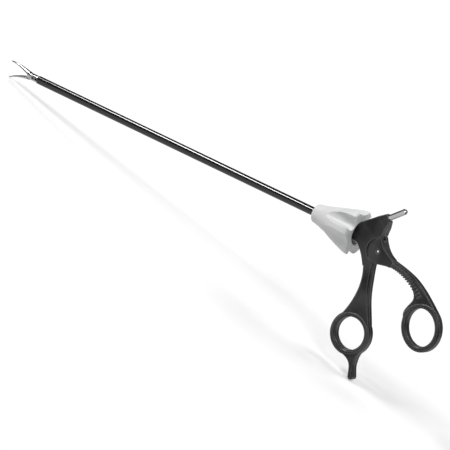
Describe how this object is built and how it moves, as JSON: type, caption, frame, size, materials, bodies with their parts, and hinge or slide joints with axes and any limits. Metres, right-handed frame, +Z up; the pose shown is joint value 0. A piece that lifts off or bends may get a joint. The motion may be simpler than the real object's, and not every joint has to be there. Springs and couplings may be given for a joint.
{
  "type": "maryland dissector",
  "caption": "Curved-jaw laparoscopic grasping dissector with insulated shaft, fluted rotation knob, ring handles and a connector post.",
  "frame": {"origin": "on the shaft's axis where the shaft leaves the rotation knob", "axes": "+X level from the jaws towards the handle in the handle's plane, +Y across the handle away from the side the picture shows, +Z up"},
  "size_m": [0.3722, 0.0312, 0.1116],
  "materials": {
    "black_plastic": "fine-grained matte black moulded plastic",
    "grey_plastic": "light grey moulded plastic",
    "black_insulation": "smooth glossy black shrunk-on insulation",
    "steel": "brushed stainless steel",
    "bright_steel": "polished metal",
    "hub_plastic": "turned black engineering plastic",
    "liner_plastic": "white slippery plastic",
    "seal_rubber": "black rubber",
    "spring_brass": "spring brass"
  },
  "bodies": {
    "handle": {"handle_shell_left": "black_plastic", "handle_shell_right": "black_plastic", "handle_pivot_pin": "steel", "hf_post": "bright_steel", "post_nut": "steel", "contact_spring": "spring_brass"},
    "shaft": {"outer_tube": "steel", "insulation_sleeve": "black_insulation", "clevis": "steel", "jaw_pivot_pin": "steel", "rod_liner": "liner_plastic", "tube_hub": "hub_plastic", "rod_seal": "seal_rubber", "rotation_knob": "grey_plastic", "friction_washer": "liner_plastic"},
    "rod": {"rod_tip": "steel", "jaw_drive_pin": "steel", "drive_rod": "steel", "rod_ball": "steel"},
    "upper_jaw": {"upper_jaw": "steel"},
    "lower_jaw": {"lower_jaw": "steel"},
    "thumb_handle": {"thumb_handle": "black_plastic"}
  },
  "joints": [
    {"name": "shaft_rotation", "type": "hinge", "parent": "handle", "child": "shaft", "pos_m": [0, 0, 0], "axis": [0.9692, 0, 0.2462], "continuous": true},
    {"name": "thumb_handle", "type": "hinge", "parent": "handle", "child": "thumb_handle", "pos_m": [0.05294, 0, 0.0089], "axis": [0, 1, 0], "range_deg": [0, 20]},
    {"name": "rod_slide", "type": "slide", "parent": "shaft", "child": "rod", "axis": [0.9692, 0, 0.2462], "range_m": [0, 0.00155]},
    {"name": "upper_jaw", "type": "hinge", "parent": "shaft", "child": "upper_jaw", "pos_m": [-0.23271, 0, -0.0591], "axis": [0.0343, -0.9903, -0.1349], "range_deg": [0, 16]},
    {"name": "lower_jaw", "type": "hinge", "parent": "shaft", "child": "lower_jaw", "pos_m": [-0.23271, 0, -0.0591], "axis": [-0.0343, 0.9903, 0.1349], "range_deg": [0, 16]}
  ],
  "couplings": [
    {"joint": "rod_slide", "follows": "thumb_handle", "m_per_rad": 0.0044452},
    {"joint": "upper_jaw", "follows": "thumb_handle", "ratio": 0.8},
    {"joint": "lower_jaw", "follows": "thumb_handle", "ratio": 0.8}
  ]
}
